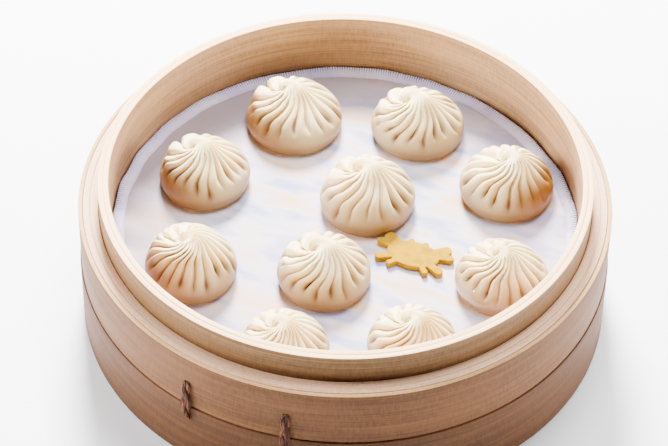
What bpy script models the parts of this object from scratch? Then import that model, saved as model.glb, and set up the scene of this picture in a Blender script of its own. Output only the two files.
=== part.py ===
# A bamboo steamer basket with a cloth liner, ten pleated soup dumplings and a flat crab-shaped garnish.
# Metres, +Z up. The origin is the centre of the circle that the basket stands on, and -Y is the front.
import random
from collections import namedtuple
from math import acos, atan2, cos, exp, hypot, pi, radians, sin, sqrt

import bmesh
import bpy

# The basket: driving sizes
OUTER_RADIUS = 0.1270
RIM_HEIGHT = 0.0817
STEP_HEIGHT = 0.0672
SEAM_HEIGHT = 0.0360
INNER_RADIUS = 0.1121
INNER_WALL = 0.0051
VENEER = 0.0021
BASE_PROUD = 0.0006
FLOOR_RING_BOTTOM = 0.0180
GAP = 0.0003
EDGE = 0.0007
TURN_STEPS = 64

# The floor: slats trapped between the two inner rings, and two bars under them
CLOTH_TOP = 0.0477
CLOTH_THICKNESS = 0.0012
SLAT_THICKNESS = 0.0032
SLAT_WIDTH = 0.0094
SLAT_PITCH = 0.0130
SLATS_EACH_SIDE = 8
SLAT_TURN = radians(-20)
BAR_WIDTH = 0.0080
BAR_THICKNESS = 0.0040
BAR_OFFSET = 0.0450

# The cloth's edge wanders in and out, and lifts where it meets the wall
CLOTH_RADIUS = 0.1101
CLOTH_WANDER = 0.0010
CLOTH_LIFT = 0.0010
CLOTH_SEGMENTS = 48
CLOTH_RINGS = (0.040, 0.078, 0.1078)

# The twisted ties across the seam
TIE_TOP = 0.0522
TIE_BOTTOM = 0.0273
TIE_STRAND = 0.0010
TIE_FLATNESS = 0.55
TIE_TURNS = 1.5
TIE_SECTIONS = 13
TIE_SIDES = 8
TIE_ANGLES = (-123.8, -101.6, 56.2, 78.4)

# The dumplings: place, radius and height, where the crest stands off the middle, how far the hollow lies from
# the crest, how full the shoulder is, how many pleats run up to it, and how far they swirl
Dumpling = namedtuple("Dumpling", "x y radius height crest_x crest_y pinch fullness pleats swirl")
DUMPLINGS = (
    Dumpling(-0.0258, 0.0705, 0.0241, 0.0238, 0.0034, 0.0002, 0.0094, 0.90, 18, 46),
    Dumpling(0.0357, 0.0659, 0.0228, 0.0242, 0.0045, -0.0024, 0.0110, 1.00, 19, 56),
    Dumpling(-0.0685, 0.0286, 0.0220, 0.0238, 0.0032, -0.0005, 0.0090, 0.98, 19, 44),
    Dumpling(0.0108, 0.0141, 0.0232, 0.0247, 0.0048, -0.0005, 0.0100, 1.00, 17, 42),
    Dumpling(0.0784, 0.0241, 0.0226, 0.0244, 0.0048, -0.0016, 0.0065, 1.00, 19, 40),
    Dumpling(-0.0722, -0.0335, 0.0218, 0.0252, 0.0006, -0.0026, 0.0050, 1.06, 20, 74),
    Dumpling(-0.0095, -0.0365, 0.0223, 0.0236, 0.0054, -0.0024, 0.0105, 1.00, 19, 50),
    Dumpling(0.0742, -0.0391, 0.0219, 0.0242, 0.0016, -0.0022, 0.0055, 1.00, 19, 58),
    Dumpling(-0.0269, -0.0855, 0.0209, 0.0222, 0.0026, -0.0012, 0.0070, 1.00, 20, 52),
    Dumpling(0.0320, -0.0816, 0.0211, 0.0230, 0.0046, -0.0014, 0.0080, 1.00, 19, 62),
)
# Rows of a dumpling from the base up: radius and height as shares, and pleat depth as a share of the radius
Row = namedtuple("Row", "radius height depth")
ROWS = (
    Row(0.860, 0.000, 0.000),
    Row(0.965, 0.075, 0.000),
    Row(1.000, 0.200, 0.000),
    Row(0.980, 0.340, 0.020),
    Row(0.890, 0.520, 0.060),
    Row(0.735, 0.705, 0.082),
    Row(0.555, 0.855, 0.084),
    Row(0.385, 0.955, 0.074),
    Row(0.235, 1.000, 0.056),
    Row(0.115, 0.930, 0.030),
)
PLEAT_START = 0.30
PLEAT_INWARDS = 0.75
PLEAT_DOWN = 0.50
FULLNESS_POWER = 1.5
LEAST_SPREAD = 0.75
SWIRL_POWER = 1.4
SLIDE_WIDTH = 0.50
GATHER_WIDTH = 0.45
GATHER_SQUEEZE = 0.76
CURL = radians(60)
HOLLOW_HEIGHT = 0.76
HOLLOW_BEARING = radians(172)
CREST_RISE = 0.035
CREST_LIFT = 0.46
CREST_WIDTH = 0.006
UNEVEN = 0.45
OVAL = (0.004, 0.014)

# The garnish: a flat crab cut from one slice
CRAB_X = 0.0327
CRAB_Y = -0.0210
CRAB_TURN = radians(-20)
CRAB_THICKNESS = 0.0026
CRAB_SAMPLES = 104
Lobe = namedtuple("Lobe", "x y radius")
CRAB_BODY = (0.0128, 0.0082)
CRAB_EYE = Lobe(0.0036, 0.0080, 0.0016)
CRAB_CLAW = (Lobe(0.0140, 0.0074, 0.0028), Lobe(0.0174, 0.0034, 0.0019))
CRAB_LEGS = (Lobe(0.0148, -0.0064, 0.0022), Lobe(0.0088, -0.0090, 0.0016))


def clear_scene():
    for thing in list(bpy.data.objects):
        bpy.data.objects.remove(thing, do_unlink=True)


def new_material(name, colour, roughness):
    made = bpy.data.materials.new(name)
    made.use_nodes = True
    shader = made.node_tree.nodes["Principled BSDF"]
    shader.inputs["Base Color"].default_value = (*colour, 1.0)
    shader.inputs["Roughness"].default_value = roughness
    shader.inputs["Metallic"].default_value = 0.0
    return made


def add_object(name, data, material, collection):
    thing = bpy.data.objects.new(name, data)
    data.materials.append(material)
    collection.objects.link(thing)
    return thing


def add_mesh(name, bm, material, collection, smooth_angle=None):
    mesh = bpy.data.meshes.new(name)
    bm.to_mesh(mesh)
    bm.free()
    if smooth_angle is not None:
        mesh.shade_smooth()
        mesh.set_sharp_from_angle(angle=smooth_angle)
    return add_object(name, mesh, material, collection)


def wave(angle, parts):
    return sum(size * sin(count * angle + start) for count, size, start in parts)


def turned_ring(name, inner, outer, bottom, top, edge, material, collection):
    # The section runs down the outer side, then back up the inner side; only the top edges are eased.
    section = ((outer - edge, top), (outer, top - edge), (outer, bottom),
               (inner, bottom), (inner, top - edge), (inner + edge, top))
    bm = bmesh.new()
    corners = [bm.verts.new((r, 0, z)) for r, z in section]
    for here, after in zip(corners, corners[1:] + corners[:1]):
        bm.edges.new((here, after))
    ring = add_mesh(name, bm, material, collection)
    screw = ring.modifiers.new("Turn", "SCREW")
    screw.axis = "Z"
    screw.angle = 2 * pi
    screw.steps = TURN_STEPS
    screw.render_steps = TURN_STEPS
    screw.use_merge_vertices = True
    screw.merge_threshold = 0.00002
    return ring


def make_hoops(band, rim, collection):
    inner_outside = INNER_RADIUS + INNER_WALL
    filler_inside = inner_outside + GAP
    slat_top = CLOTH_TOP - CLOTH_THICKNESS - GAP
    slat_bottom = slat_top - SLAT_THICKNESS
    turned_ring("inner_hoop", INNER_RADIUS, inner_outside, slat_top + GAP, RIM_HEIGHT, EDGE, rim, collection)
    turned_ring("floor_ring", INNER_RADIUS, inner_outside, FLOOR_RING_BOTTOM, slat_bottom - GAP, EDGE,
                rim, collection)
    veneer_inside = OUTER_RADIUS - VENEER
    upper_bottom = SEAM_HEIGHT + GAP / 2
    turned_ring("upper_hoop", filler_inside, veneer_inside - GAP, upper_bottom, STEP_HEIGHT, EDGE,
                rim, collection)
    turned_ring("upper_band", veneer_inside, OUTER_RADIUS, upper_bottom, STEP_HEIGHT, EDGE, band, collection)
    base_outside = OUTER_RADIUS + BASE_PROUD
    base_inside = base_outside - VENEER
    lower_top = SEAM_HEIGHT - GAP / 2
    turned_ring("base_hoop", filler_inside, base_inside - GAP, 0.0, lower_top, EDGE, rim, collection)
    turned_ring("base_band", base_inside, base_outside, 0.0, lower_top, EDGE, band, collection)


def plank(name, offset, width, reach, bottom, top, turn, material, collection):
    # A strip along the turned X axis whose four ends follow the circle of radius reach.
    bm = bmesh.new()
    bmesh.ops.create_cube(bm, size=2.0)
    for corner in bm.verts:
        across = offset + corner.co.y * width / 2
        along = corner.co.x * sqrt(reach ** 2 - across ** 2)
        height = top if corner.co.z > 0 else bottom
        corner.co = (along * cos(turn) - across * sin(turn), along * sin(turn) + across * cos(turn), height)
    return add_mesh(name, bm, material, collection)


def make_floor(wood, collection):
    slat_top = CLOTH_TOP - CLOTH_THICKNESS - GAP
    slat_bottom = slat_top - SLAT_THICKNESS
    slat_reach = INNER_RADIUS + INNER_WALL - GAP
    for number in range(-SLATS_EACH_SIDE, SLATS_EACH_SIDE + 1):
        plank(f"slat_{number + SLATS_EACH_SIDE + 1:02d}", number * SLAT_PITCH, SLAT_WIDTH, slat_reach,
              slat_bottom, slat_top, SLAT_TURN, wood, collection)
    bar_top = slat_bottom - GAP
    bar_reach = INNER_RADIUS * cos(pi / TURN_STEPS) - GAP
    for side, name in ((-1, "bar_left"), (1, "bar_right")):
        plank(name, side * BAR_OFFSET, BAR_WIDTH, bar_reach, bar_top - BAR_THICKNESS, bar_top,
              SLAT_TURN + pi / 2, wood, collection)


def make_cloth(material, collection):
    wander = ((3, 0.5, 0.4), (5, 0.35, 2.0), (8, 0.25, 1.1))
    bm = bmesh.new()
    bmesh.ops.create_circle(bm, cap_ends=True, cap_tris=True, segments=CLOTH_SEGMENTS, radius=CLOTH_RINGS[0])
    rim_edges = [edge for edge in bm.edges if edge.is_boundary]
    for step in range(1, len(CLOTH_RINGS) + 1):
        grown = bmesh.ops.extrude_edge_only(bm, edges=rim_edges)["geom"]
        rim_edges = [item for item in grown if isinstance(item, bmesh.types.BMEdge) and item.is_boundary]
        for vertex in [item for item in grown if isinstance(item, bmesh.types.BMVert)]:
            angle = atan2(vertex.co.y, vertex.co.x)
            lift = 0.0
            if step < len(CLOTH_RINGS):
                radius = CLOTH_RINGS[step]
            else:
                radius = CLOTH_RADIUS + CLOTH_WANDER * wave(angle, wander)
                lift = CLOTH_LIFT * (0.9 + wave(angle, wander))
            vertex.co = (radius * cos(angle), radius * sin(angle), lift)
    for vertex in bm.verts:
        vertex.co.z += CLOTH_TOP
    bmesh.ops.recalc_face_normals(bm, faces=bm.faces)
    if sum(face.normal.z for face in bm.faces) < 0:
        bmesh.ops.reverse_faces(bm, faces=bm.faces)
    bmesh.ops.triangulate(bm, faces=bm.faces)
    cloth = add_mesh("cloth_liner", bm, material, collection)
    solid = cloth.modifiers.new("Thickness", "SOLIDIFY")
    solid.thickness = CLOTH_THICKNESS
    solid.offset = -1.0


def smooth_step(value):
    held = min(max(value, 0.0), 1.0)
    return held * held * (3 - 2 * held)


def dumpling(name, shape, seed, material, collection):
    # A sphere whose rings become the rows above, with one column on each ridge and one in each crease.
    # Upwards the rows slide over the hollow. The pleats gather towards the crest beside it, then curl inwards.
    draw = random.Random(seed)
    columns = 2 * shape.pleats
    start = draw.uniform(0, 2 * pi / shape.pleats)
    depths = [1 + draw.uniform(-UNEVEN, UNEVEN) for pleat in range(shape.pleats)]
    shifts = [draw.uniform(-UNEVEN, UNEVEN) * pi / columns for pleat in range(shape.pleats)]
    oval_turn = draw.uniform(0, pi)
    oval = draw.uniform(*OVAL)
    hollow_x = shape.crest_x + shape.pinch * cos(HOLLOW_BEARING)
    hollow_y = shape.crest_y + shape.pinch * sin(HOLLOW_BEARING)
    ring = shape.pinch / shape.radius
    bm = bmesh.new()
    bmesh.ops.create_uvsphere(bm, u_segments=columns, v_segments=len(ROWS) + 1, radius=1.0)
    for vertex in bm.verts:
        level = round(acos(max(-1.0, min(1.0, -vertex.co.z))) / pi * (len(ROWS) + 1))
        if level == 0:
            vertex.co = (shape.x, shape.y, CLOTH_TOP + GAP)
            continue
        if level == len(ROWS) + 1:
            row = Row(0.0, HOLLOW_HEIGHT, 0.0)
        else:
            row = ROWS[level - 1]
        column = round(atan2(vertex.co.y, vertex.co.x) / (2 * pi) * columns) % columns
        pleat = column // 2
        angle = start + 2 * pi * column / columns + shifts[pleat]
        spread = row.radius
        slide = 0.0
        crest = 0.0
        if row.height > PLEAT_START:
            fuller = 1 - (1 - row.radius) / shape.fullness ** FULLNESS_POWER
            spread = max(fuller, row.radius * LEAST_SPREAD)
            slide = smooth_step((1 - spread) / SLIDE_WIDTH)
            gather = smooth_step((ring + GATHER_WIDTH - spread) / GATHER_WIDTH)
            angle += radians(shape.swirl) * (1 - spread) ** SWIRL_POWER
            angle -= GATHER_SQUEEZE * gather * sin(angle - HOLLOW_BEARING - pi)
            angle += CURL * max(0.0, 1 - spread / ring)
            crest = CREST_RISE + CREST_LIFT * ring ** 2
        if level == len(ROWS) + 1:
            spread = 0.0
        sunk = row.depth * depths[pleat] * (column % 2)
        radius = shape.radius * (spread - sunk * PLEAT_INWARDS) * (1 + oval * cos(2 * (angle - oval_turn)))
        x = slide * hollow_x + radius * cos(angle)
        y = slide * hollow_y + radius * sin(angle)
        away = ((x - shape.crest_x) ** 2 + (y - shape.crest_y) ** 2) / CREST_WIDTH ** 2
        height = shape.height * (row.height - sunk * PLEAT_DOWN + crest * exp(-away))
        vertex.co = (shape.x + x, shape.y + y, CLOTH_TOP + GAP + height)
    bmesh.ops.triangulate(bm, faces=bm.faces)
    return add_mesh(name, bm, material, collection, smooth_angle=radians(40))


def make_dumplings(dough, collection):
    for number, shape in enumerate(DUMPLINGS, start=1):
        dumpling(f"dumpling_{number:02d}", shape, number, dough, collection)


def ray_length(angle, lobe):
    # How far a ray from the middle runs before it leaves the lobe; 0 if it misses.
    along = lobe.x * cos(angle) + lobe.y * sin(angle)
    aside = lobe.x * sin(angle) - lobe.y * cos(angle)
    room = lobe.radius ** 2 - aside ** 2
    return along + sqrt(room) if room > 0 and along > 0 else 0.0


def crab_radius(angle):
    wide, deep = CRAB_BODY
    body = wide * deep / hypot(deep * cos(angle), wide * sin(angle))
    right = (CRAB_EYE, *CRAB_CLAW, *CRAB_LEGS)
    left = [Lobe(-lobe.x, lobe.y, lobe.radius) for lobe in right]
    return max([body] + [ray_length(angle, lobe) for lobe in (*right, *left)])


def make_crab(material, collection):
    outline = bpy.data.curves.new("crab_garnish", "CURVE")
    outline.dimensions = "2D"
    outline.fill_mode = "BOTH"
    outline.extrude = CRAB_THICKNESS / 2
    spline = outline.splines.new("POLY")
    spline.points.add(CRAB_SAMPLES - 1)
    spline.use_cyclic_u = True
    for number, point in enumerate(spline.points):
        angle = 2 * pi * number / CRAB_SAMPLES
        radius = crab_radius(angle)
        point.co = (radius * cos(angle), radius * sin(angle), 0, 1)
    crab = add_object("crab_garnish", outline, material, collection)
    crab.location = (CRAB_X, CRAB_Y, CLOTH_TOP + GAP + CRAB_THICKNESS / 2)
    crab.rotation_euler.z = CRAB_TURN


def make_tie(name, angle, material, collection):
    # Two strands side by side, turned about their own line and pressed flat against the bands.
    bm = bmesh.new()
    middle = (TIE_SECTIONS - 1) / 2
    sections = []
    for step in range(TIE_SECTIONS):
        share = step / (TIE_SECTIONS - 1)
        height = TIE_BOTTOM + (TIE_TOP - TIE_BOTTOM) * share
        taper = 1 - 0.45 * abs(step / middle - 1) ** 4
        over_base = smooth_step((SEAM_HEIGHT + 0.004 - height) / 0.003)
        surface = OUTER_RADIUS + BASE_PROUD * over_base + GAP
        centre = surface + 2 * TIE_STRAND * TIE_FLATNESS
        twist = 2 * pi * TIE_TURNS * share
        ring = []
        for side in range(TIE_SIDES):
            round_angle = 2 * pi * side / TIE_SIDES
            reach = TIE_STRAND * (1.15 + 0.85 * cos(2 * round_angle)) * taper
            across = reach * cos(round_angle + twist)
            outwards = reach * sin(round_angle + twist) * TIE_FLATNESS
            away = angle + across / OUTER_RADIUS
            reached = centre + outwards
            ring.append(bm.verts.new((reached * cos(away), reached * sin(away), height)))
        sections.append(ring)
    for below, above in zip(sections, sections[1:]):
        for side in range(TIE_SIDES):
            after = (side + 1) % TIE_SIDES
            bm.faces.new((below[side], below[after], above[after], above[side]))
    bm.faces.new(sections[0])
    bm.faces.new(sections[-1])
    bmesh.ops.triangulate(bm, faces=bm.faces)
    bmesh.ops.recalc_face_normals(bm, faces=bm.faces)
    add_mesh(name, bm, material, collection, smooth_angle=radians(50))


def build():
    clear_scene()
    collection = bpy.data.collections.new("soup_dumplings_in_steamer")
    bpy.context.scene.collection.children.link(collection)
    rim = new_material("pale_bamboo", (0.78, 0.62, 0.46), 0.55)
    band = new_material("tan_bamboo", (0.45, 0.29, 0.18), 0.50)
    wood = new_material("slat_bamboo", (0.62, 0.45, 0.28), 0.60)
    cloth = new_material("white_cloth", (0.80, 0.79, 0.82), 0.90)
    dough = new_material("steamed_dough", (0.82, 0.73, 0.58), 0.40)
    yellow = new_material("yellow_garnish", (0.88, 0.62, 0.14), 0.45)
    rattan = new_material("dark_rattan", (0.17, 0.10, 0.08), 0.60)
    make_hoops(band, rim, collection)
    make_floor(wood, collection)
    make_cloth(cloth, collection)
    make_dumplings(dough, collection)
    make_crab(yellow, collection)
    for number, degrees_round in enumerate(TIE_ANGLES, start=1):
        make_tie(f"tie_{number}", radians(degrees_round), rattan, collection)


build()
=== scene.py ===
# Dresses the steamer basket: wound bamboo hoops, a cloth liner, ten soup dumplings and a crab garnish.
import math
import random

import bmesh
import bpy
import numpy as np
from mathutils import Matrix, Vector


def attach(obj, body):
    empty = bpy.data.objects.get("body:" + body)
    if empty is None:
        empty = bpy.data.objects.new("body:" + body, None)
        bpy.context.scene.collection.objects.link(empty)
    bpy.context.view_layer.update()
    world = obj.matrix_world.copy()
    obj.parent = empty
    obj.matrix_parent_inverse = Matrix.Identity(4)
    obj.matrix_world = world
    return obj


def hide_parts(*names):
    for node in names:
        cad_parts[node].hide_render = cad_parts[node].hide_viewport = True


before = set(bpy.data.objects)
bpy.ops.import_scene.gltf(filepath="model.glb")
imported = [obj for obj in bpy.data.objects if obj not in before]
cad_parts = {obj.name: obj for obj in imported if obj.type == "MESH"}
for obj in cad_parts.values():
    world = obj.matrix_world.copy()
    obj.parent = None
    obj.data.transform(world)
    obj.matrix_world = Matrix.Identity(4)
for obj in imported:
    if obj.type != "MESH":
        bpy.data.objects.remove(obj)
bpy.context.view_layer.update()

mm = 0.001
weldDistance = 0.00001


# Small helpers that every piece uses

def clearSelection():
    if bpy.context.object and bpy.context.object.mode != "OBJECT":
        bpy.ops.object.mode_set(mode="OBJECT")
    bpy.ops.object.select_all(action="DESELECT")


def makeActive(piece):
    clearSelection()
    piece.select_set(True)
    bpy.context.view_layer.objects.active = piece


def settle(piece):
    makeActive(piece)
    bpy.ops.object.transform_apply(location=True, rotation=True, scale=True)


def applyModifiers(piece):
    makeActive(piece)
    for modifier in list(piece.modifiers):
        bpy.ops.object.modifier_apply(modifier=modifier.name)


def smoothFaces(piece, degreesSharp=None):
    makeActive(piece)
    if degreesSharp is None:
        bpy.ops.object.shade_smooth()
    else:
        bpy.ops.object.shade_smooth_by_angle(angle=math.radians(degreesSharp))


def weldSeams():
    # In edit mode: joins the two ends of a surface that was spun or bent into a ring.
    bpy.ops.mesh.select_all(action="SELECT")
    bpy.ops.mesh.remove_doubles(threshold=weldDistance)
    bpy.ops.mesh.normals_make_consistent(inside=False)


def finishPiece(piece, material, slotName, *nodes):
    piece.data.materials.clear()
    piece.data.materials.append(material)
    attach(piece, "root")
    if nodes:
        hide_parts(*nodes)


def readPoints(mesh):
    flat = np.empty(len(mesh.vertices) * 3)
    mesh.vertices.foreach_get("co", flat)
    return flat.reshape(-1, 3)


def writePoints(mesh, points):
    mesh.vertices.foreach_set("co", points.reshape(-1))
    mesh.update()


def addAttribute(mesh, name, values):
    layer = mesh.attributes.new(name, "FLOAT", "POINT")
    layer.data.foreach_set("value", values.astype(np.float32))


def ease(value):
    held = np.clip(value, 0.0, 1.0)
    return held * held * (3 - 2 * held)


# Node building: one short helper, then one function for each finish

class Finish:
    def __init__(self, name):
        self.material = bpy.data.materials.new(name)
        self.material.use_nodes = True
        self.tree = self.material.node_tree
        self.shader = self.tree.nodes["Principled BSDF"]
        self.coords = self.add("ShaderNodeTexCoord").outputs["Object"]

    def add(self, kind, **values):
        node = self.tree.nodes.new(kind)
        for key, value in values.items():
            setattr(node, key, value)
        return node

    def link(self, source, target):
        self.tree.links.new(source, target)

    def math(self, operation, first, second=None):
        node = self.add("ShaderNodeMath", operation=operation)
        for socket, value in zip(node.inputs, (first, second)):
            if value is None:
                continue
            if isinstance(value, (int, float)):
                socket.default_value = value
            else:
                self.link(value, socket)
        return node.outputs[0]

    def times(self, first, second):
        return self.math("MULTIPLY", first, second)

    def plus(self, first, second):
        return self.math("ADD", first, second)

    def noise(self, vector, scale, detail=3.0, roughness=0.55):
        node = self.add("ShaderNodeTexNoise")
        node.inputs["Scale"].default_value = scale
        node.inputs["Detail"].default_value = detail
        node.inputs["Roughness"].default_value = roughness
        self.link(vector, node.inputs["Vector"])
        return node.outputs["Fac"]

    def mapping(self, vector, turn=0.0, scale=(1.0, 1.0, 1.0)):
        node = self.add("ShaderNodeMapping")
        node.inputs["Rotation"].default_value = (0, 0, turn)
        node.inputs["Scale"].default_value = scale
        self.link(vector, node.inputs["Vector"])
        return node.outputs[0]

    def ramp(self, factor, *stops):
        node = self.add("ShaderNodeValToRGB")
        elements = node.color_ramp.elements
        while len(elements) < len(stops):
            elements.new(0.5)
        for element, (place, colour) in zip(elements, stops):
            element.position = place
            element.color = (*colour, 1.0)
        self.link(factor, node.inputs["Fac"])
        return node.outputs["Color"]

    def mix(self, factor, first, second, blend="MIX"):
        node = self.add("ShaderNodeMix", data_type="RGBA", blend_type=blend)
        sockets = [node.inputs[0], node.inputs[6], node.inputs[7]]
        for socket, value in zip(sockets, (factor, first, second)):
            if isinstance(value, (int, float)):
                socket.default_value = value
            elif isinstance(value, tuple):
                socket.default_value = (*value, 1.0)
            else:
                self.link(value, socket)
        return node.outputs[2]

    def attribute(self, name):
        return self.add("ShaderNodeAttribute", attribute_name=name).outputs["Fac"]

    def bump(self, height, strength, distance):
        node = self.add("ShaderNodeBump")
        node.inputs["Strength"].default_value = strength
        node.inputs["Distance"].default_value = distance
        self.link(height, node.inputs["Height"])
        return node.outputs["Normal"]

    def use(self, socket, value):
        if isinstance(value, (int, float)):
            self.shader.inputs[socket].default_value = value
        elif isinstance(value, tuple):
            self.shader.inputs[socket].default_value = (*value, 1.0)
        else:
            self.link(value, self.shader.inputs[socket])


def srgb(red, green, blue):
    # A colour as read off the photograph, from 0 to 255, made linear.
    return tuple(((v / 255 + 0.055) / 1.055) ** 2.4 if v > 10 else v / 3294.6
                 for v in (red, green, blue))


# The camera, the light and the table

cameraSettings = {
    "place": (-0.0052, -0.9319, 0.9844),
    "lookDown": 45.10,
    "roll": 0.95,
    "lens": 147.9,
    "sensor": 36.0,
}

lightSettings = {
    "key": {"place": (-0.10, 1.16, 1.04), "size": 0.45, "power": 240.0, "colour": (1.0, 0.985, 0.965)},
    "left": {"place": (-1.15, 0.05, 0.42), "size": 0.5, "power": 44.0, "colour": (1.0, 0.99, 0.98)},
    "right": {"place": (1.15, 0.10, 0.25), "size": 0.4, "power": 26.0, "colour": (1.0, 0.99, 0.98)},
    "top": {"place": (0.20, 0.30, 1.30), "size": 0.6, "power": 34.0, "colour": (1.0, 1.0, 1.0)},
}

roomSettings = {
    "aim": (0.0, 0.0, 0.05),
    "world": 0.045,
    "worldColour": (0.97, 0.98, 1.0, 1.0),
    "tableSize": 6.0,
    "tableTop": -0.0004,
    "tableColour": (246, 247, 250),
}


def makeCamera():
    data = bpy.data.cameras.new("photoCamera")
    data.lens = cameraSettings["lens"]
    data.sensor_width = cameraSettings["sensor"]
    data.sensor_fit = "HORIZONTAL"
    data.clip_start = 0.01
    camera = bpy.data.objects.new("photoCamera", data)
    bpy.context.scene.collection.objects.link(camera)
    tilt = Matrix.Rotation(math.radians(90 - cameraSettings["lookDown"]), 4, "X")
    roll = Matrix.Rotation(math.radians(cameraSettings["roll"]), 4, "Z")
    camera.matrix_world = Matrix.Translation(cameraSettings["place"]) @ tilt @ roll
    bpy.context.scene.camera = camera


def makeLights():
    for name, spec in lightSettings.items():
        data = bpy.data.lights.new(name + "Light", "AREA")
        data.shape = "DISK"
        data.size = spec["size"]
        data.energy = spec["power"]
        data.color = spec["colour"]
        lamp = bpy.data.objects.new(name + "Light", data)
        bpy.context.scene.collection.objects.link(lamp)
        lamp.location = spec["place"]
        look = Vector(roomSettings["aim"]) - Vector(spec["place"])
        lamp.rotation_euler = look.to_track_quat("-Z", "Y").to_euler()
    world = bpy.data.worlds.new("softRoom")
    world.use_nodes = True
    world.node_tree.nodes["Background"].inputs["Color"].default_value = roomSettings["worldColour"]
    world.node_tree.nodes["Background"].inputs["Strength"].default_value = roomSettings["world"]
    bpy.context.scene.world = world


def makeTable():
    clearSelection()
    place = (0, 0, roomSettings["tableTop"])
    bpy.ops.mesh.primitive_plane_add(size=roomSettings["tableSize"], location=place)
    table = bpy.context.object
    table.name = "paleTable"
    finish = Finish("palePaper")
    finish.use("Base Color", srgb(*roomSettings["tableColour"]))
    finish.use("Roughness", 0.85)
    finish.use("Specular IOR Level", 0.2)
    table.data.materials.append(finish.material)


# Bamboo: each wood's pale, middle and dark colour, its gloss, and how strong its dark lines are

bambooWoods = {
    "cutEdgePale": ((254, 220, 172), (248, 198, 142), (212, 158, 104), 0.20, 0.3),
    "cutEdgeStep": ((230, 188, 154), (214, 168, 132), (166, 118, 84), 0.20, 0.3),
    "cutEdgeBand": ((214, 172, 116), (196, 150, 96), (150, 104, 58), 0.20, 0.5),
    "innerWallBamboo": ((192, 156, 118), (172, 134, 96), (130, 92, 56), 0.20, 0.5),
    "rimOutsideBamboo": ((136, 101, 63), (114, 81, 47), (78, 50, 26), 0.20, 0.5),
    "bandSkinBamboo": ((117, 78, 46), (96, 61, 33), (63, 37, 18), 0.15, 0.5),
    # The base band's skin is a darker copy of the upper band's: painted shade on the lower band, partly a
    # browner skin
    "baseSkinBamboo": ((99, 63, 35), (80, 49, 25), (50, 30, 14), 0.15, 0.5),
    "plainBamboo": ((200, 160, 110), (176, 134, 86), (132, 92, 52), 0.20, 0.5),
}


def fibreSpace(finish, x, y, across, along, aside):
    # Fibres run round the hoop, so the pattern is slow in X and Y and fast across them.
    space = finish.add("ShaderNodeCombineXYZ")
    finish.link(finish.times(x, along), space.inputs[0])
    finish.link(finish.times(y, along), space.inputs[1])
    finish.link(finish.times(across, aside), space.inputs[2])
    return space.outputs[0]


def bambooFinish(name):
    *tones, gloss, lines = bambooWoods[name]
    pale, middle, dark = [srgb(*tone) for tone in tones]
    finish = Finish(name)
    parts = finish.add("ShaderNodeSeparateXYZ")
    finish.link(finish.coords, parts.inputs[0])
    x, y, z = parts.outputs
    radius = finish.math("SQRT", finish.plus(finish.math("POWER", x, 2), finish.math("POWER", y, 2)))
    across = finish.plus(z, radius)
    fine = finish.noise(fibreSpace(finish, x, y, across, 16.0, 1900.0), 1.0, 4.0, 0.6)
    broad = finish.noise(fibreSpace(finish, x, y, across, 12.0, 320.0), 1.0, 3.0, 0.5)
    dashes = finish.noise(fibreSpace(finish, x, y, across, 8.0, 900.0), 1.0, 1.0, 0.5)
    flecks = finish.noise(fibreSpace(finish, x, y, across, 900.0, 260.0), 1.0, 2.0, 0.5)
    patches = finish.noise(finish.coords, 16.0, 2.0, 0.5)
    grain = finish.plus(finish.times(fine, 0.45), finish.times(broad, 0.35))
    grain = finish.plus(grain, finish.times(flecks, 0.20))
    colour = finish.ramp(grain, (0.36, dark), (0.49, middle), (0.62, pale))
    line = finish.ramp(dashes, (0.60, (0, 0, 0)), (0.66, (lines, lines, lines)))
    colour = finish.mix(line, colour, dark)
    colour = finish.mix(finish.times(finish.math("SUBTRACT", patches, 0.3), 0.7), colour, pale)
    finish.use("Base Color", colour)
    finish.use("Roughness", finish.plus(finish.times(fine, 0.2), 0.5))
    finish.use("Specular IOR Level", gloss)
    finish.use("Normal", finish.bump(grain, 0.3, 0.0004))
    return finish.material


# The hoops, in millimetres. Each turn of a wound hoop fills the space between two of its radii.

hoopSettings = {
    "steps": 288,
    "rim": 81.7,
    "step": 67.2,
    "seam": 36.0,
    "floorRingBottom": 18.0,
    "innerLayers": (112.10, 114.60, 117.20),
    "innerDrop": (0.00, 0.10),
    "stepLayers": (117.50, 121.60, 124.80),
    "stepDrop": (0.30, 0.10),
    "bandInside": 124.9,
    "bandOutside": 127.0,
    "baseInside": 125.5,
    "baseOutside": 127.6,
    "turnGap": 0.01,
    "layerGap": 0.10,
    "seamHalf": 0.15,
    "stepLift": 0.20,
    "baseDrop": 0.30,
    "ease": 0.30,
    "plainEase": 0.50,
    "baseEase": 0.60,
    "wander": 0.10,
    "stepWander": 0.12,
    "wanderDepth": 4.0,
}


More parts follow.
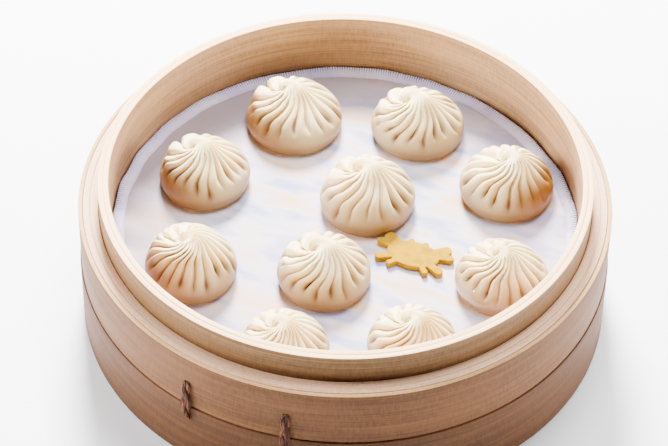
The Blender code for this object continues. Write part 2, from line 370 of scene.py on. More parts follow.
def woundLayer(name, inner, outer, bottom, top, easeWidth, wander, seed):
    # One turn of strip: a plane the size of its section, its corners rounded, spun round the middle.
    depth = hoopSettings["wanderDepth"]
    middle = ((inner + outer) / 2 * mm, 0, (bottom + top) / 2 * mm)
    clearSelection()
    bpy.ops.mesh.primitive_plane_add(size=1.0, location=middle, rotation=(math.pi / 2, 0, 0))
    layer = bpy.context.object
    layer.name = name
    layer.scale = ((outer - inner) * mm, (top - bottom) * mm, 1)
    settle(layer)
    bpy.ops.object.mode_set(mode="EDIT")
    bpy.ops.mesh.select_all(action="SELECT")
    bpy.ops.mesh.bevel(offset=easeWidth * mm, segments=3, affect="VERTICES")
    bpy.ops.mesh.delete(type="ONLY_FACE")
    bpy.ops.mesh.select_all(action="SELECT")
    bpy.ops.mesh.spin(steps=hoopSettings["steps"], angle=2 * math.pi, center=(0, 0, 0), axis=(0, 0, 1))
    weldSeams()
    bpy.ops.object.mode_set(mode="OBJECT")
    # The upper edge isn't quite even in height or in radius.
    points = readPoints(layer.data)
    angle = np.arctan2(points[:, 1], points[:, 0])
    radius = np.hypot(points[:, 0], points[:, 1])
    draw = random.Random(seed)
    lift = np.zeros(len(points))
    push = np.zeros(len(points))
    for count in (2, 3, 5, 9):
        lift += draw.uniform(-1, 1) * np.sin(count * angle + draw.uniform(0, 6.28)) / math.sqrt(count)
        push += draw.uniform(-1, 1) * np.sin(count * angle + draw.uniform(0, 6.28)) / math.sqrt(count)
    upper = np.clip((points[:, 2] / mm - (top - depth)) / depth, 0, 1)
    points[:, 2] += lift * upper * wander * mm
    radius += push * wander * 0.5 * mm * upper
    points[:, 0] = radius * np.cos(angle)
    points[:, 1] = radius * np.sin(angle)
    writePoints(layer.data, points)
    smoothFaces(layer, 40)
    return layer


def windTurns(name, edges, drops, bottom, top, wander, seed):
    # The turns of one wound hoop lie face to face, each with its own height.
    h = hoopSettings
    turns = []
    for number, drop in enumerate(drops):
        inner = edges[number] + h["turnGap"]
        outer = edges[number + 1] - h["turnGap"]
        turns.append(woundLayer(f"{name}{number + 1}", inner, outer, bottom, top - drop, h["ease"], wander,
                                seed + number))
    return turns


def dressStrip(piece, wall, cut, slotName, node):
    # The sawn upper edge is paler than the faces of the strip.
    finishPiece(piece, wall, slotName, node)
    piece.data.materials.append(cut)
    for face in piece.data.polygons:
        face.material_index = 1 if abs(face.normal.z) > 0.55 else 0


def makeHoops():
    h = hoopSettings
    f = floorSettings
    wood = {name: bambooFinish(name) for name in bambooWoods}
    plain, skin, shadedLowSkin = wood["plainBamboo"], wood["bandSkinBamboo"], wood["baseSkinBamboo"]
    cutStep = wood["cutEdgeStep"]
    inner = windTurns("innerHoop", h["innerLayers"], h["innerDrop"], f["top"] + f["gap"], h["rim"],
                      h["wander"], 11)
    for layer, wall in zip(inner, ("innerWallBamboo", "rimOutsideBamboo")):
        dressStrip(layer, wood[wall], wood["cutEdgePale"], "pale_bamboo", "inner_hoop")
    ring = woundLayer("floorRing", h["innerLayers"][0], h["innerLayers"][-1], h["floorRingBottom"],
                      f["top"] - f["thickness"] - f["gap"], h["plainEase"], 0.0, 20)
    dressStrip(ring, plain, cutStep, "pale_bamboo", "floor_ring")
    for layer in windTurns("stepHoop", h["stepLayers"], h["stepDrop"], h["seam"] + h["stepLift"], h["step"],
                           h["stepWander"], 31):
        dressStrip(layer, plain, cutStep, "pale_bamboo", "upper_hoop")
    band = woundLayer("upperBand", h["bandInside"], h["bandOutside"], h["seam"] + h["seamHalf"], h["step"],
                      h["plainEase"], h["wander"], 41)
    dressStrip(band, skin, wood["cutEdgeBand"], "tan_bamboo", "upper_band")
    base = woundLayer("baseHoop", h["stepLayers"][0], h["baseInside"] - h["layerGap"], 0.0,
                      h["seam"] - h["baseDrop"], h["plainEase"], 0.0, 51)
    dressStrip(base, plain, cutStep, "pale_bamboo", "base_hoop")
    # The base band takes the darker skin: painted shade, partly a browner skin
    lower = woundLayer("baseBand", h["baseInside"], h["baseOutside"], 0.0, h["seam"] - h["seamHalf"],
                       h["baseEase"], 0.0, 52)
    dressStrip(lower, shadedLowSkin, shadedLowSkin, "tan_bamboo", "base_band")
    print("hoops wound")


# The floor under the cloth

floorSettings = {
    "turn": -20.0,
    "pitch": 13.0,
    "eachSide": 8,
    "width": 9.4,
    "top": 46.2,
    "thickness": 3.2,
    "gap": 0.3,
    "reach": 116.9,
    "edge": 0.5,
    "barOffset": 45.0,
    "barWidth": 8.0,
    "barThickness": 4.0,
    "barReach": 111.6,
}


def flatStrip(name, offset, width, reach, bottom, top, turn, material, node):
    # A strip whose ends follow a circle round the middle.
    clearSelection()
    bpy.ops.mesh.primitive_cube_add(size=2.0, location=(0, 0, 0))
    strip = bpy.context.object
    strip.name = name
    bpy.ops.object.mode_set(mode="EDIT")
    bpy.ops.mesh.select_all(action="SELECT")
    bpy.ops.mesh.subdivide(number_cuts=1)
    bpy.ops.object.mode_set(mode="OBJECT")
    points = readPoints(strip.data)
    across = offset + points[:, 1] * width / 2
    along = points[:, 0] * np.sqrt(reach ** 2 - across ** 2)
    height = bottom + (points[:, 2] + 1) / 2 * (top - bottom)
    c, s = math.cos(math.radians(turn)), math.sin(math.radians(turn))
    points = np.stack([along * c - across * s, along * s + across * c, height], 1) * mm
    writePoints(strip.data, points)
    edge = strip.modifiers.new("Eased", "BEVEL")
    edge.width = floorSettings["edge"] * mm
    edge.segments = 2
    edge.limit_method = "ANGLE"
    applyModifiers(strip)
    smoothFaces(strip, 35)
    finishPiece(strip, material, "slat_bamboo", node)


def slatFinish():
    finish = Finish("slatBamboo")
    spun = finish.mapping(finish.coords, turn=math.radians(-floorSettings["turn"]))
    fibre = finish.noise(finish.mapping(spun, scale=(20.0, 900.0, 300.0)), 1.0, 4.0, 0.6)
    tone = finish.noise(finish.mapping(spun, scale=(3.0, 75.0, 3.0)), 1.0, 1.0, 0.5)
    dark, middle, pale = srgb(176, 138, 92), srgb(208, 176, 128), srgb(230, 205, 160)
    colour = finish.ramp(fibre, (0.32, dark), (0.5, middle), (0.7, pale))
    finish.use("Base Color", finish.mix(finish.times(tone, 0.4), colour, srgb(192, 150, 100)))
    finish.use("Roughness", 0.62)
    finish.use("Normal", finish.bump(fibre, 0.3, 0.0003))
    return finish.material


def makeFloor():
    f = floorSettings
    material = slatFinish()
    slatBottom = f["top"] - f["thickness"]
    for number in range(-f["eachSide"], f["eachSide"] + 1):
        label = number + f["eachSide"] + 1
        flatStrip(f"floorSlat{label:02d}", number * f["pitch"], f["width"], f["reach"], slatBottom, f["top"],
                  f["turn"], material, f"slat_{label:02d}")
    barTop = slatBottom - f["gap"]
    for side, name in ((-1, "left"), (1, "right")):
        flatStrip(f"crossBar{name.title()}", side * f["barOffset"], f["barWidth"], f["barReach"],
                  barTop - f["barThickness"], barTop, f["turn"] + 90, material, f"bar_{name}")
    print("floor laid")


# The dumplings. The rows, places and draws are those of the solids, with a finer surface between them.
# A row holds the radius and the height as shares of the whole, and how deep the pleats are.

dumplingSettings = {
    "rows": (
        (0.000, 0.000, 0.000), (0.860, 0.000, 0.000), (0.965, 0.075, 0.000), (1.000, 0.200, 0.000),
        (0.980, 0.340, 0.020), (0.890, 0.520, 0.060), (0.735, 0.705, 0.082), (0.555, 0.855, 0.084),
        (0.385, 0.955, 0.076), (0.235, 1.000, 0.062), (0.115, 0.945, 0.044), (0.000, 0.740, 0.000),
    ),
    "base": 48.0,
    "columns": 336,
    "rings": 150,
    # How the pleats differ, and where each begins
    "uneven": 0.45,
    "oval": (0.004, 0.014),
    "starts": (0.20, 0.46),
    "beginWidth": 0.22,
    "grooveDepth": 1.7,
    "inwards": 0.75,
    "down": 0.50,
    # The pockets at their lower ends
    "pockets": (0.1, 1.2),
    "pocketDepth": 0.055,
    "pocketAbove": 0.17,
    "pocketWidth": 0.12,
    # The shoulder and the swirl
    "pleatLevel": 0.3,
    "fullnessPower": 1.5,
    "leastSpread": 0.75,
    "mostSpread": 1.8,
    "slideWidth": 0.50,
    "swirlPower": 1.4,
    "lumps": (0.16, 0.10),
    # The hollow, and the crest beside it
    "hollowBearing": 172.0,
    "gatherLevel": 0.4,
    "gatherWidth": 0.45,
    "squeeze": 0.64,
    "curlLevel": 0.5,
    "curl": 60.0,
    "crestRise": 0.035,
    "crestLift": 0.46,
    "crestWidth": 6.0,
    "flatter": 0.5,
    "lean": 0.07,
    "shallower": 0.25,
    "widePinch": 9.0,
    # The broad, loose pleats behind the hollow
    "looseBearing": 146.0,
    "loose": 0.95,
    "looseRound": 1.5,
    "looseWidth": 0.60,
    # How far round from the amber patch of stain and painted shade the wet place lies
    "wetAside": 32.0,
}

# In millimetres x, y, radius, height, crest x, crest y and how far the hollow lies from the crest. Then come
# fullness, pleats, swirl, the bearing and strength of an amber patch, partly the soup's stain and partly
# painted shade and painted warm reflection from the nearest wall, and 1 if the dough is wet beside it.
dumplingShapes = (
    (-25.8, 70.5, 24.1, 23.8, 3.4, 0.2, 9.4, 0.90, 18, 46, 204, 1.00, 0),
    (35.7, 65.9, 22.8, 24.2, 4.5, -2.4, 11.0, 1.00, 19, 56, -80, 0.25, 0),
    (-68.5, 28.6, 22.0, 23.8, 3.2, -0.5, 9.0, 0.98, 19, 44, 212, 0.95, 0),
    (10.8, 14.1, 23.2, 24.7, 4.8, -0.5, 10.0, 1.00, 17, 42, -105, 0.35, 0),
    (78.4, 24.1, 22.6, 24.4, 4.8, -1.6, 6.5, 1.00, 19, 40, -22, 1.35, 0),
    (-72.2, -33.5, 21.8, 25.2, 1.4, -2.4, 4.2, 1.06, 20, 74, 196, 1.05, 0),
    (-9.5, -36.5, 22.3, 23.6, 5.4, -2.4, 10.5, 1.00, 19, 50, -95, 0.45, 0),
    (74.2, -39.1, 21.9, 24.2, 1.6, -2.2, 5.5, 1.00, 19, 58, -110, 0.45, 1),
    (-26.9, -85.5, 20.9, 22.2, 2.6, -1.2, 7.0, 1.00, 20, 52, -90, 0.20, 0),
    (32.0, -81.6, 21.1, 23.0, 4.6, -1.4, 8.0, 1.00, 19, 62, -60, 0.20, 0),
)

doughColours = {
    "warm": (248, 220, 160),
    "pale": (255, 237, 188),
    # low: painted shade towards the foot, partly the soup-darkened dough's own colour
    "low": (122, 90, 46),
    # The amber patch: partly the soup's stain, partly painted shade and painted reflection of the wall
    "soakedAndShaded": (130, 84, 14),
    # line and pocket: painted shade in the creases and in the pockets at their lower ends
    "line": (152, 98, 36),
    "pocket": (116, 66, 14),
}


def smoothTable(place, column):
    # Passes a smooth curve through evenly spaced values.
    values = np.array(column)
    spot = np.clip(place, 0, 1) * (len(values) - 1)
    low = np.clip(np.floor(spot).astype(int), 0, len(values) - 2)
    t = spot - low
    p0 = values[np.maximum(low - 1, 0)]
    p1 = values[low]
    p2 = values[low + 1]
    p3 = values[np.minimum(low + 2, len(values) - 1)]
    return 0.5 * (2 * p1 + (p2 - p0) * t + (2 * p0 - 5 * p1 + 4 * p2 - p3) * t ** 2
                  + (3 * p1 - p0 - 3 * p2 + p3) * t ** 3)


def towards(angle, degreesRound):
    # 1 on that bearing, falling to 0 a quarter of a turn to either side of it.
    return np.clip(np.cos(angle - math.radians(degreesRound)), 0, 1)


def dumplingPoints(sphere, shape, seed):
    s = dumplingSettings
    x0, y0, radius, height, crestX, crestY, pinch, fullness, pleats, swirl, stainShadeBearing, stainAndShade, wet = shape
    draw = random.Random(seed)
    start = draw.uniform(0, 2 * math.pi / pleats)
    uneven = s["uneven"]
    depths = np.array([1 + draw.uniform(-uneven, uneven) for pleat in range(pleats)])
    shifts = np.array([draw.uniform(-uneven, uneven) * math.pi / (2 * pleats) for pleat in range(pleats)])
    ovalTurn = draw.uniform(0, math.pi)
    oval = draw.uniform(*s["oval"])
    starts = np.array([draw.uniform(*s["starts"]) for pleat in range(pleats)])
    pockets = np.array([min(1.0, draw.uniform(*s["pockets"])) for pleat in range(pleats)])
    # The rows, read at each point's level
    level = np.arccos(np.clip(-sphere[:, 2], -1, 1)) / math.pi
    turn = np.arctan2(sphere[:, 1], sphere[:, 0]) % (2 * math.pi)
    spread, rise, depth = [smoothTable(level, [row[n] for row in s["rows"]]) for n in range(3)]
    spread = np.maximum(spread, 0)
    depth = np.maximum(depth, 0)
    rise += s["shallower"] * max(0.0, 1 - pinch / s["widePinch"]) * ease((level - 0.82) / 0.18)
    # The creases lie half way between the ridges, steeper on one side, and end in a pocket.
    place = turn / (2 * math.pi) * pleats
    crease = np.floor(place).astype(int) % pleats
    part = place - np.floor(place)
    offset = place - np.floor(place + 0.5)
    near = np.abs(2 * offset)
    cut = near ** np.where(offset < 0, 2.4 + 2.6 * spread, 1.3 + 0.8 * spread)
    above = rise - starts[crease]
    begin = ease(above / s["beginWidth"])
    sunk = depth * depths[crease] * cut * begin * s["grooveDepth"]
    pocket = pockets[crease] * np.exp(-((above - s["pocketAbove"]) / s["pocketWidth"]) ** 2) * near ** 2.0
    sunk += s["pocketDepth"] * pocket * (level > 0.2)
    full = 1 - (1 - spread) / fullness ** s["fullnessPower"]
    full = np.clip(full, spread * s["leastSpread"], spread * s["mostSpread"])
    spread = np.where(level > s["pleatLevel"], full, spread)
    # Round the hollow the pleats gather towards the crest, then curl on inwards.
    bearing = math.radians(s["hollowBearing"])
    ring = pinch / radius
    gathers = level > s["gatherLevel"]
    gather = np.where(gathers, ease((ring + s["gatherWidth"] - spread) / s["gatherWidth"]), 0.0)
    held = shifts[crease]
    after = shifts[(crease + 1) % pleats]
    angle = start + turn + np.where(part < 0.5, held, held + (after - held) * (part - 0.5) * 2)
    swirled = np.radians(swirl) * np.abs(1 - spread) ** s["swirlPower"]
    angle += np.where(level > s["pleatLevel"], swirled, 0.0)
    angle -= s["squeeze"] * gather * np.sin(angle - bearing - math.pi)
    curled = math.radians(s["curl"]) * np.maximum(0, 1 - spread / ring)
    angle += np.where(level > s["curlLevel"], curled, 0.0)
    # The pleats are flatter where they meet on the crest's side.
    flatter = 1 - s["flatter"] * gather * (0.5 - 0.5 * np.cos(angle - bearing))
    # Behind the hollow every second crease fades, which leaves broad, rounded pleats there.
    loose = s["loose"] * np.clip(1.6 * np.cos(angle - math.radians(s["looseBearing"])), 0, 1)
    loose *= np.where(gathers, ease((ring + s["looseWidth"] - spread) / s["gatherWidth"]), 0.0)
    kept = 1 - loose * (crease % 2)
    fromMiddle = np.abs((place - 0.5) % 2 - 1)
    sunk = sunk * flatter * kept + loose * depth * s["looseRound"] * fromMiddle ** 2
    out = radius * (spread - sunk * s["inwards"]) * (1 + oval * np.cos(2 * (angle - ovalTurn)))
    lumps = s["lumps"][0] * np.sin(3 * angle + seed) * np.sin(level * 9 + seed)
    lumps += s["lumps"][1] * np.sin(7 * angle + level * 12 + seed)
    out += lumps * ease(level / 0.2) * ease((0.95 - level) / 0.2)
    # Upwards the rows slide over the hollow, and the crest rises beside it.
    slide = np.where(level > s["pleatLevel"], ease((1 - spread) / s["slideWidth"]), 0.0)
    x = slide * (crestX + pinch * math.cos(bearing)) + out * np.cos(angle)
    y = slide * (crestY + pinch * math.sin(bearing)) + out * np.sin(angle)
    away = ((x - crestX) ** 2 + (y - crestY) ** 2) / s["crestWidth"] ** 2
    crest = (s["crestRise"] + s["crestLift"] * ring ** 2) * np.exp(-away) * ease((level - 0.4) / 0.2)
    lean = s["lean"] * gather * towards(angle, s["hollowBearing"])
    up = height * (rise - sunk * s["down"] + crest - lean)
    points = np.stack([x0 + x, y0 + y, s["base"] + up], 1) * mm
    # What the dough's finish reads
    # creaseShade and pocketShade carry the painted shade of the creases and of the pockets
    shade = cut * begin * ease((rise - 0.2) / 0.2) * np.minimum(depth / 0.05, 1) * flatter * kept
    # The amber patch: the soup's stain, and with it painted shade and painted warm reflection of the wall
    stainedAndShaded = stainAndShade * towards(angle, stainShadeBearing) ** 1.2 * ease((0.95 - rise) / 0.5)
    beside = towards(angle, stainShadeBearing - s["wetAside"])
    wetness = wet * beside ** 2 * ease((0.72 - rise) / 0.25) * ease((rise - 0.06) / 0.12)
    shades = {"creaseShade": shade, "pocketShade": pocket, "riseShade": np.clip(rise, 0, 1),
              "stainShade": stainedAndShaded, "wetShade": wetness}
    return points, shades


def doughFinish():
    finish = Finish("steamedDough")
    colours = {name: srgb(*colour) for name, colour in doughColours.items()}
    cloudy = finish.noise(finish.coords, 60.0, 3.0, 0.55)
    warm = finish.ramp(cloudy, (0.35, colours["warm"]), (0.65, colours["pale"]))
    # Darker towards the foot: painted shade, partly the soup-darkened dough's own colour
    lowShade = finish.times(finish.math("SUBTRACT", 0.74, finish.attribute("riseShade")), 1.7)
    low = finish.mix(finish.math("MINIMUM", lowShade, 0.9), warm, colours["low"])
    # The amber patch: partly the soup's stain, partly painted shade and painted reflection of the wall
    soakAndShade = finish.times(finish.attribute("stainShade"), finish.plus(cloudy, 0.45))
    soakedAndShaded = finish.mix(soakAndShade, low, colours["soakedAndShaded"])
    # Painted shade in the creases, and below them in the pockets
    crease = finish.math("POWER", finish.attribute("creaseShade"), 2.0)
    lines = finish.mix(finish.times(crease, 0.85), soakedAndShaded, colours["line"])
    pocket = finish.math("MINIMUM", finish.attribute("pocketShade"), 0.9)
    finish.use("Base Color", finish.mix(pocket, lines, colours["pocket"]))
    wet = finish.attribute("wetShade")
    rough = finish.plus(finish.times(cloudy, 0.15), 0.36)
    finish.use("Roughness", finish.math("SUBTRACT", rough, finish.times(wet, 0.36)))
    finish.use("Specular IOR Level", finish.plus(finish.times(wet, 0.6), 0.4))
    finish.use("Subsurface Weight", 0.3)
    finish.shader.inputs["Subsurface Radius"].default_value = (1.0, 0.6, 0.3)
    finish.use("Subsurface Scale", 0.0012)
    fine = finish.noise(finish.coords, 900.0, 2.0, 0.5)
    drops = finish.times(finish.noise(finish.coords, 320.0, 2.0, 0.6), finish.times(wet, 22.0))
    finish.use("Normal", finish.bump(finish.plus(fine, drops), 0.10, 0.00012))
    return finish.material


def makeDumplings():
    s = dumplingSettings
    material = doughFinish()
    clearSelection()
    bpy.ops.mesh.primitive_uv_sphere_add(segments=s["columns"], ring_count=s["rings"], radius=1.0,
                                         location=(0, 0, 0))
    ball = bpy.context.object
    smoothFaces(ball)
    sphere = readPoints(ball.data)
    for number, shape in enumerate(dumplingShapes, start=1):
        piece = ball.copy()
        piece.data = ball.data.copy()
        piece.name = f"soupDumpling{number:02d}"
        bpy.context.scene.collection.objects.link(piece)
        points, shades = dumplingPoints(sphere, shape, number)
        writePoints(piece.data, points)
        for name, values in shades.items():
            addAttribute(piece.data, name, values)
        finishPiece(piece, material, "steamed_dough", f"dumpling_{number:02d}")
    bpy.data.objects.remove(ball, do_unlink=True)
    print("dumplings pleated")


# The cloth liner with its overlocked hem

clothSettings = {
    "top": 47.7,
    "thickness": 0.9,
    "radius": 110.9,
    "wander": 0.5,
    "gap": 1.6,
    "gapBearing": 48.0,
    "leftBearing": 182.0,
    "rightBearing": 8.0,
    "frontBearing": -107.0,
    # Where the painted shade of the wall lies on the cloth: its bearing, where it starts and how wide it
    # grows
    "wallShadeBearing": 125.0,
    "wallShadeFrom": 66.0,
    "wallShadeWidth": 34.0,
    "segments": 480,
    "rings": (12, 26, 40, 52, 64, 74, 82, 88, 92, 95, 98, 100, 102, 104, 106, 107.5, 109),
    "edgeFrom": 90.0,
    "edgeWidth": 20.0,
    "hemWidth": 5.4,
    "hemHeight": 2.2,
    "hemTilt": 1.3,
    "hemOver": 0.5,
    "hemSteps": 4400,
    "hemRound": 12,
    "stitches": 550,
}


def clothFinish():
    finish = Finish("linerCotton")
    weave = finish.mapping(finish.coords, turn=0.5, scale=(1500.0, 1500.0, 1.0))
    parts = finish.add("ShaderNodeSeparateXYZ")
    finish.link(weave, parts.inputs[0])
    threads = finish.times(finish.math("SINE", finish.times(parts.outputs[0], 6.283)),
                           finish.math("SINE", finish.times(parts.outputs[1], 6.283)))
    # The slats show through faintly as warm bands.
    turned = finish.mapping(finish.coords, turn=math.radians(-floorSettings["turn"]))
    bands = finish.noise(finish.mapping(turned, scale=(30.0, 92.0, 1.0)), 1.0, 2.0, 0.5)
    blue, plain, warm = srgb(158, 160, 202), srgb(208, 200, 212), srgb(228, 184, 156)
    tint = finish.ramp(bands, (0.36, blue), (0.50, plain), (0.66, warm))
    cloudy = finish.noise(finish.coords, 24.0, 2.0, 0.5)
    haze = finish.times(finish.math("SUBTRACT", cloudy, 0.34), 0.8)
    colour = finish.mix(haze, tint, srgb(222, 212, 220))
    # Painted shade: the cloth turns greyer near the wall, where the wall shades it
    finish.use("Base Color", finish.mix(finish.attribute("paintedWallShade"), colour, srgb(136, 121, 128)))
    finish.use("Roughness", 0.9)
    finish.use("Specular IOR Level", 0.15)
    finish.use("Sheen Weight", 0.15)
    finish.use("Normal", finish.bump(threads, 0.12, 0.00008))
    return finish.material


def hemFinish():
    finish = Finish("hemThread")
    fine = finish.noise(finish.coords, 1600.0, 2.0, 0.6)
    patches = finish.noise(finish.coords, 40.0, 2.0, 0.5)
    tint = finish.ramp(patches, (0.4, srgb(198, 190, 228)), (0.6, srgb(220, 212, 238)))
    # Painted shade in the gaps between the overlock threads
    thread = finish.attribute("threadShade")
    gapShade = finish.ramp(thread, (0.25, srgb(112, 100, 132)), (0.66, srgb(255, 255, 255)))
    colour = finish.mix(1.0, tint, gapShade, "MULTIPLY")
    finish.use("Base Color", finish.mix(finish.times(fine, 0.4), colour, srgb(190, 180, 200)))
    finish.use("Roughness", 0.95)
    finish.use("Specular IOR Level", 0.1)
    finish.use("Sheen Weight", 0.3)
    finish.use("Normal", finish.bump(fine, 0.5, 0.0003))
    return finish.material


def hump(angle, degreesRound, width):
    # 1 on that bearing, falling to nothing on both sides of it.
    away = (angle - math.radians(degreesRound) + math.pi) % (2 * math.pi) - math.pi
    return np.exp(-(away / width) ** 2)


def clothEdge(angle):
    # The cut edge wanders a little, and stops shorter of the wall at the right of the back.
    s = clothSettings
    waves = 0.5 * np.sin(3 * angle + 0.4) + 0.35 * np.sin(5 * angle + 2.0) + 0.25 * np.sin(8 * angle + 1.1)
    return s["radius"] + s["wander"] * waves - s["gap"] * hump(angle, s["gapBearing"], 0.42)


def clothHeight(radius, angle):
    # Soft wrinkles near the wall, most of them on the left and the right, none under the front dumplings.
    s = clothSettings
    edge = ease((radius - s["edgeFrom"]) / s["edgeWidth"])
    left = hump(angle, s["leftBearing"], 0.42)
    right = hump(angle, s["rightBearing"], 0.30)
    front = hump(angle, s["frontBearing"], 0.35)
    folds = 0.22 * np.sin(angle * 23 + 1.3 * np.sin(angle * 5)) + 0.2 * np.sin(angle * 9 + 0.7)
    folds += left * (1.6 + 1.5 * np.sin(angle * 27 + 0.09 * radius))
    folds += right * (1.0 + 0.8 * np.sin(angle * 21 + 0.6))
    return edge * (0.35 + folds) * (1 - front)


def makeHem():
    # Overlock stitching round the edge: a flattened tube with slanted, crossing threads.
    s = clothSettings
    clearSelection()
    bpy.ops.mesh.primitive_grid_add(x_subdivisions=s["hemSteps"], y_subdivisions=s["hemRound"], size=2.0,
                                    location=(0, 0, 0))
    hem = bpy.context.object
    hem.name = "overlockedHem"
    points = readPoints(hem.data)
    angle = points[:, 0] * math.pi
    across = np.cos(points[:, 1] * math.pi)
    up = np.sin(points[:, 1] * math.pi)
    stitch = angle * s["stitches"]
    slant = 0.9 * across
    threads = np.maximum(np.cos(stitch + slant), np.cos(stitch - slant + 2.0))
    draw = np.random.default_rng(7)
    # The first and the last row of the grid get the same fluff, so that they can be welded.
    alongStep = np.rint((points[:, 0] + 1) / 2 * s["hemSteps"]).astype(int) % s["hemSteps"]
    roundStep = np.rint((points[:, 1] + 1) / 2 * s["hemRound"]).astype(int) % s["hemRound"]
    fluff = draw.normal(0, 1, (s["hemSteps"], s["hemRound"]))[alongStep, roundStep]
    fuller = 1 + 0.30 * threads + 0.08 * fluff
    middle = clothEdge(angle) - s["hemWidth"] / 2 + s["hemOver"]
    radius = middle + across * (s["hemWidth"] / 2 + 0.12 * threads + 0.12 * fluff)
    lift = clothHeight(radius, angle) - s["thickness"] / 2
    height = s["top"] + lift + up * s["hemHeight"] / 2 * fuller + s["hemTilt"] * (1 + across)
    writePoints(hem.data, np.stack([radius * np.cos(angle), radius * np.sin(angle), height], 1) * mm)
    # Where the threads stand, for the painted shade in the gaps between them
    addAttribute(hem.data, "threadShade", np.clip(0.5 + 0.5 * threads, 0, 1))
    bpy.ops.object.mode_set(mode="EDIT")
    weldSeams()
    bpy.ops.object.mode_set(mode="OBJECT")
    smoothFaces(hem)
    return hem


def makeCloth():
    s = clothSettings
    clearSelection()
    bpy.ops.mesh.primitive_circle_add(vertices=s["segments"], radius=s["rings"][0] * mm, fill_type="TRIFAN",
                                      location=(0, 0, s["top"] * mm))
    cloth = bpy.context.object
    cloth.name = "clothLiner"
    bpy.ops.object.mode_set(mode="EDIT")
    bpy.ops.mesh.select_all(action="DESELECT")
    bm = bmesh.from_edit_mesh(cloth.data)
    for edge in bm.edges:
        edge.select_set(edge.is_boundary)
    bmesh.update_edit_mesh(cloth.data)
    previous = s["rings"][0]
    for ring in (*s["rings"][1:], s["radius"]):
        bpy.ops.mesh.extrude_edges_move()
        bpy.ops.transform.resize(value=(ring / previous, ring / previous, 1), center_override=(0, 0, 0))
        previous = ring
    bpy.ops.object.mode_set(mode="OBJECT")
    settle(cloth)
    points = readPoints(cloth.data) / mm
    angle = np.arctan2(points[:, 1], points[:, 0])
    radius = np.hypot(points[:, 0], points[:, 1])
    radius += (clothEdge(angle) - s["radius"]) * ease((radius - s["edgeFrom"]) / s["edgeWidth"])
    height = s["top"] + clothHeight(radius, angle)
    writePoints(cloth.data, np.stack([radius * np.cos(angle), radius * np.sin(angle), height], 1) * mm)
    # Painted shade of the wall: darker towards the edge, most at the back and the left
    wallShadeSide = np.clip(0.5 + 0.5 * np.cos(angle - math.radians(s["wallShadeBearing"])), 0, 1)
    wallShade = ease((radius - s["wallShadeFrom"]) / s["wallShadeWidth"]) * (0.2 + 0.8 * wallShadeSide)
    addAttribute(cloth.data, "paintedWallShade", wallShade)
    if cloth.data.polygons[0].normal.z < 0:
        cloth.data.flip_normals()
    solid = cloth.modifiers.new("Thickness", "SOLIDIFY")
    solid.thickness = s["thickness"] * mm
    solid.offset = -1
    applyModifiers(cloth)
    smoothFaces(cloth)
    finishPiece(cloth, clothFinish(), "white_cloth", "cloth_liner")
    hem = makeHem()
    finishPiece(hem, hemFinish(), "white_cloth")
    print("cloth laid")


# The garnish: a body with round lobes on both sides, each given as x, y and radius

crabSettings = {
    "x": 32.7,
    "y": -21.0,
    "base": 48.0,
    "turn": -20.0,
    "thickness": 2.6,
    "body": (12.8, 8.2),
    "eye": (3.6, 8.0, 1.6),
    "claw": ((14.0, 7.4, 2.8), (17.4, 3.4, 1.9)),
    "legs": ((14.8, -6.4, 2.2), (8.8, -9.0, 1.6)),
    "samples": 360,
    "voxel": 0.22,
    "softened": 6,
}


def crabRadius(angle):
    wide, deep = crabSettings["body"]
    reach = wide * deep / math.hypot(deep * math.cos(angle), wide * math.sin(angle))
    for x, y, r in (crabSettings["eye"], *crabSettings["claw"], *crabSettings["legs"]):
        for side in (1, -1):
            along = side * x * math.cos(angle) + y * math.sin(angle)
            aside = side * x * math.sin(angle) - y * math.cos(angle)
            if along > 0 and abs(aside) < r:
                reach = max(reach, along + math.sqrt(r * r - aside * aside))
    return reach


def garnishFinish():
    finish = Finish("yellowSlice")
    cloudy = finish.noise(finish.coords, 180.0, 3.0, 0.6)
    finish.use("Base Color", finish.ramp(cloudy, (0.35, srgb(156, 116, 0)), (0.6, srgb(174, 134, 0))))
    finish.use("Roughness", 0.7)
    finish.use("Specular IOR Level", 0.0)
    finish.use("Subsurface Weight", 0.2)
    finish.shader.inputs["Subsurface Radius"].default_value = (1.0, 0.7, 0.2)
    finish.use("Subsurface Scale", 0.002)
    finish.use("Normal", finish.bump(finish.noise(finish.coords, 1400.0, 2.0, 0.5), 0.15, 0.0001))
    return finish.material


def makeCrab():
    s = crabSettings
    clearSelection()
    bpy.ops.mesh.primitive_circle_add(vertices=s["samples"], radius=1.0, fill_type="NGON",
                                      location=(0, 0, 0))
    crab = bpy.context.object
    crab.name = "crabGarnish"
    points = readPoints(crab.data)
    for point in points:
        angle = math.atan2(point[1], point[0])
        reach = crabRadius(angle)
        point[0], point[1] = reach * math.cos(angle) * mm, reach * math.sin(angle) * mm
    writePoints(crab.data, points)
    bpy.ops.object.mode_set(mode="EDIT")
    bpy.ops.mesh.select_all(action="SELECT")
    bpy.ops.mesh.extrude_region_move(TRANSFORM_OT_translate={"value": (0, 0, s["thickness"] * mm)})
    bpy.ops.mesh.select_all(action="SELECT")
    bpy.ops.mesh.normals_make_consistent(inside=False)
    bpy.ops.object.mode_set(mode="OBJECT")
    rounded = crab.modifiers.new("Rounded", "REMESH")
    rounded.mode = "VOXEL"
    rounded.voxel_size = s["voxel"] * mm
    soft = crab.modifiers.new("Soft", "SMOOTH")
    soft.factor = 0.6
    soft.iterations = s["softened"]
    applyModifiers(crab)
    crab.location = (s["x"] * mm, s["y"] * mm, s["base"] * mm)
    crab.rotation_euler.z = math.radians(s["turn"])
    settle(crab)
    smoothFaces(crab)
    finishPiece(crab, garnishFinish(), "yellow_garnish", "crab_garnish")
    print("garnish cut")


# The twisted ties across the seam

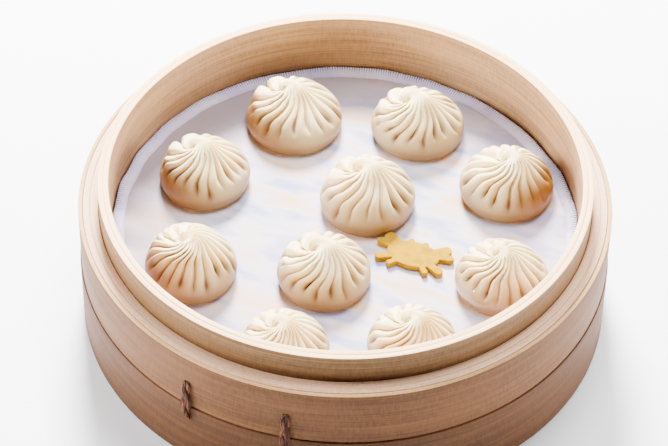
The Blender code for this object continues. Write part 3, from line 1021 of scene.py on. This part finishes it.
tieSettings = {
    "angles": (-123.8, -101.6, 56.2, 78.4),
    "top": 52.2,
    "bottom": 27.3,
    "clear": 0.15,
    "strand": 1.4,
    "flat": 0.42,
    "turns": 1.0,
    "sides": 14,
    "cuts": 70,
    "sunkEnds": 1.6,
}


def rattanFinish():
    finish = Finish("darkRattan")
    fibre = finish.noise(finish.mapping(finish.coords, scale=(1400.0, 1400.0, 90.0)), 1.0, 3.0, 0.6)
    dark, middle, pale = srgb(38, 18, 10), srgb(66, 34, 22), srgb(138, 90, 50)
    finish.use("Base Color", finish.ramp(fibre, (0.38, dark), (0.52, middle), (0.68, pale)))
    finish.use("Roughness", 0.6)
    finish.use("Specular IOR Level", 0.12)
    finish.use("Normal", finish.bump(fibre, 0.4, 0.0002))
    return finish.material


def makeStrand(number, strand, degreesRound):
    # A cylinder cut into short lengths, twisted round the tie's middle, its ends pressed into the band.
    s = tieSettings
    band = hoopSettings["bandOutside"]
    proud = hoopSettings["baseOutside"] - band
    clearSelection()
    bpy.ops.mesh.primitive_cylinder_add(vertices=s["sides"], radius=1.0, depth=1.0, location=(0, 0, 0))
    piece = bpy.context.object
    bpy.ops.object.mode_set(mode="EDIT")
    bpy.ops.mesh.select_all(action="DESELECT")
    bm = bmesh.from_edit_mesh(piece.data)
    long = [edge for edge in bm.edges if abs(edge.verts[0].co.z - edge.verts[1].co.z) > 0.5]
    bmesh.ops.subdivide_edges(bm, edges=long, cuts=s["cuts"])
    bmesh.update_edit_mesh(piece.data)
    bpy.ops.object.mode_set(mode="OBJECT")
    points = readPoints(piece.data)
    share = points[:, 2] + 0.5
    fromMiddle = np.abs(2 * share - 1)
    twist = 2 * math.pi * s["turns"] * share + math.pi * strand + 0.3 * number
    height = s["bottom"] + (s["top"] - s["bottom"]) * share
    taper = 1 - 0.5 * fromMiddle ** 5
    overBase = ease((40 - height) / 3)
    centre = band + proud * overBase + s["clear"] + 2 * s["strand"] * s["flat"]
    across = s["strand"] * (0.95 * np.cos(twist) + 1.02 * points[:, 0]) * taper
    outwards = s["strand"] * (0.95 * np.sin(twist) + 1.02 * points[:, 1]) * s["flat"]
    outwards -= s["sunkEnds"] * fromMiddle ** 8
    radius = centre + outwards
    away = math.radians(degreesRound) + across / band
    writePoints(piece.data, np.stack([radius * np.cos(away), radius * np.sin(away), height], 1) * mm)
    return piece


def makeTies():
    material = rattanFinish()
    for number, degreesRound in enumerate(tieSettings["angles"], start=1):
        strands = [makeStrand(number, strand, degreesRound) for strand in (0, 1)]
        clearSelection()
        for piece in strands:
            piece.select_set(True)
        bpy.context.view_layer.objects.active = strands[0]
        bpy.ops.object.join()
        tie = bpy.context.object
        tie.name = f"twistedTie{number}"
        settle(tie)
        bpy.ops.object.mode_set(mode="EDIT")
        bpy.ops.mesh.select_all(action="SELECT")
        bpy.ops.mesh.normals_make_consistent(inside=False)
        bpy.ops.object.mode_set(mode="OBJECT")
        smoothFaces(tie, 50)
        finishPiece(tie, material, "dark_rattan", f"tie_{number}")
    print("ties twisted")


makeCamera()
makeLights()
makeTable()
makeHoops()
makeFloor()
makeDumplings()
makeCrab()
makeCloth()
makeTies()
